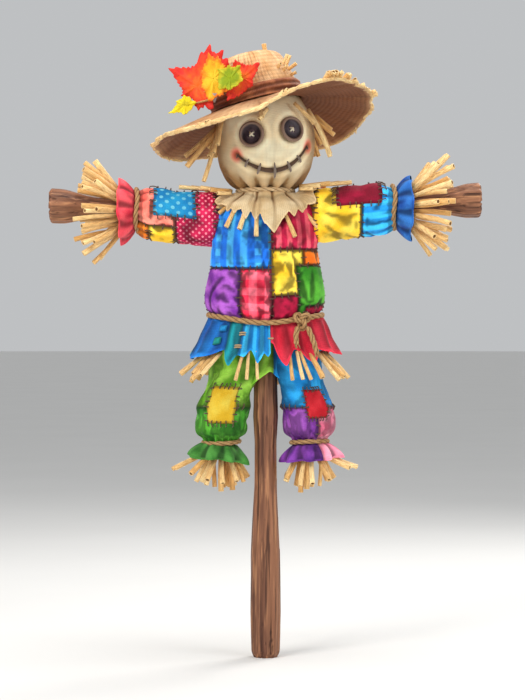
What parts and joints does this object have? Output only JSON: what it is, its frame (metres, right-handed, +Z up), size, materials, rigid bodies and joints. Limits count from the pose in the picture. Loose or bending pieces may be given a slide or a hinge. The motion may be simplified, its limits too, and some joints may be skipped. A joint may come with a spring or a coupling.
{
  "type": "scarecrow figure",
  "caption": "Stuffed patchwork scarecrow on a lashed wooden cross and stake, with button eyes, a drooping straw hat with leaves, and straw at the hands, waist and feet.",
  "frame": {"origin": "centre of the pole's flat foot", "axes": "+Z up along the pole, -Y out of the face, +X towards the figure's own left hand, along the crossbar"},
  "size_m": [0.4314, 0.2195, 0.6135],
  "materials": {
    "straw": "dry matt stems",
    "jute_rope": "twisted, matt",
    "sackcloth": "coarse plain weave, matt",
    "stained_wood": "stained, satin grain",
    "zinc_steel": "plated",
    "fibre_filling": "loose fibre, matt",
    "hat_straw_cloth": "woven straw cloth, matt",
    "hat_band": "ribbed ribbon",
    "dark_button": "satin, four holes",
    "thread": "dark thread",
    "pale_thread": "pale thread",
    "blue_cotton": "printed cotton patches, mostly blue",
    "red_cotton": "printed cotton, crimson",
    "yellow_cotton": "printed cotton, yellow",
    "green_cotton": "printed cotton, green",
    "red_leaf_cloth": "stiffened cloth, red to orange",
    "yellow_leaf_cloth": "stiffened cloth, yellow",
    "green_leaf_cloth": "stiffened cloth, yellow-green"
  },
  "bodies": {
    "frame": {"belt_knot": "jute_rope", "belt_rope": "jute_rope", "bolt_nut": "zinc_steel", "crossbar": "stained_wood", "crossbar_bolt": "zinc_steel", "left_cuff": "blue_cotton", "left_hand_straw": "straw", "left_shoulder_straw": "straw", "left_skirt": "red_cotton", "left_sleeve": "yellow_cotton", "left_sleeve_patch": "red_cotton", "left_sleeve_stuffing": "fibre_filling", "left_waist_straw": "straw", "left_wrist_rope": "jute_rope", "pole": "stained_wood", "right_cuff": "red_cotton", "right_hand_straw": "straw", "right_shoulder_straw": "straw", "right_skirt": "blue_cotton", "right_sleeve": "red_cotton", "right_sleeve_patch": "blue_cotton", "right_sleeve_stuffing": "fibre_filling", "right_waist_straw": "straw", "right_wrist_rope": "jute_rope", "sack_collar": "sackcloth", "shirt_body": "blue_cotton", "torso_stuffing": "fibre_filling", "trouser_waist": "green_cotton"},
    "head": {"head_sack": "sackcloth", "head_stuffing": "fibre_filling", "left_button_eye": "dark_button", "left_eye_thread": "pale_thread", "left_hair_straw": "straw", "mouth_stitching": "thread", "neck_rope": "jute_rope", "right_button_eye": "dark_button", "right_eye_thread": "pale_thread", "right_hair_straw": "straw"},
    "hat": {"green_leaf": "green_leaf_cloth", "hat": "hat_straw_cloth", "hat_band": "hat_band", "hat_straw": "straw", "orange_leaf": "red_leaf_cloth", "red_leaf": "red_leaf_cloth", "small_leaf": "yellow_leaf_cloth", "yellow_leaf": "yellow_leaf_cloth"},
    "right_leg": {"right_ankle_rope": "jute_rope", "right_ankle_ruffle": "green_cotton", "right_foot_straw": "straw", "right_knee_patch": "yellow_cotton", "right_leg_stuffing": "fibre_filling", "right_trouser_leg": "green_cotton"},
    "left_leg": {"left_ankle_rope": "jute_rope", "left_ankle_ruffle": "blue_cotton", "left_foot_straw": "straw", "left_knee_patch": "red_cotton", "left_leg_stuffing": "fibre_filling", "left_trouser_leg": "blue_cotton"},
    "belt_tail_short": {"belt_tail_short": "jute_rope"},
    "belt_tail_long": {"belt_tail_long": "jute_rope"}
  },
  "joints": [
    {"name": "head_turn", "type": "hinge", "parent": "frame", "child": "head", "pos_m": [0, 0, 0.515], "axis": [0, 0, 1], "range_deg": [-35, 35]},
    {"name": "hat_lift", "type": "slide", "parent": "head", "child": "hat", "axis": [-0.2243, 0.075, 0.9716], "range_m": [0, 0.1]},
    {"name": "right_leg_swing", "type": "hinge", "parent": "frame", "child": "right_leg", "pos_m": [-0.037, 0, 0.3], "axis": [-1, 0, 0], "range_deg": [-20, 20]},
    {"name": "left_leg_swing", "type": "hinge", "parent": "frame", "child": "left_leg", "pos_m": [0.037, 0, 0.3], "axis": [-1, 0, 0], "range_deg": [-20, 20]},
    {"name": "short_tail_swing", "type": "hinge", "parent": "frame", "child": "belt_tail_short", "pos_m": [0.0315, -0.0465, 0.327], "axis": [0, 1, 0], "range_deg": [-20, 20]},
    {"name": "long_tail_swing", "type": "hinge", "parent": "frame", "child": "belt_tail_long", "pos_m": [0.041, -0.0465, 0.327], "axis": [0, 1, 0], "range_deg": [-20, 20]}
  ]
}
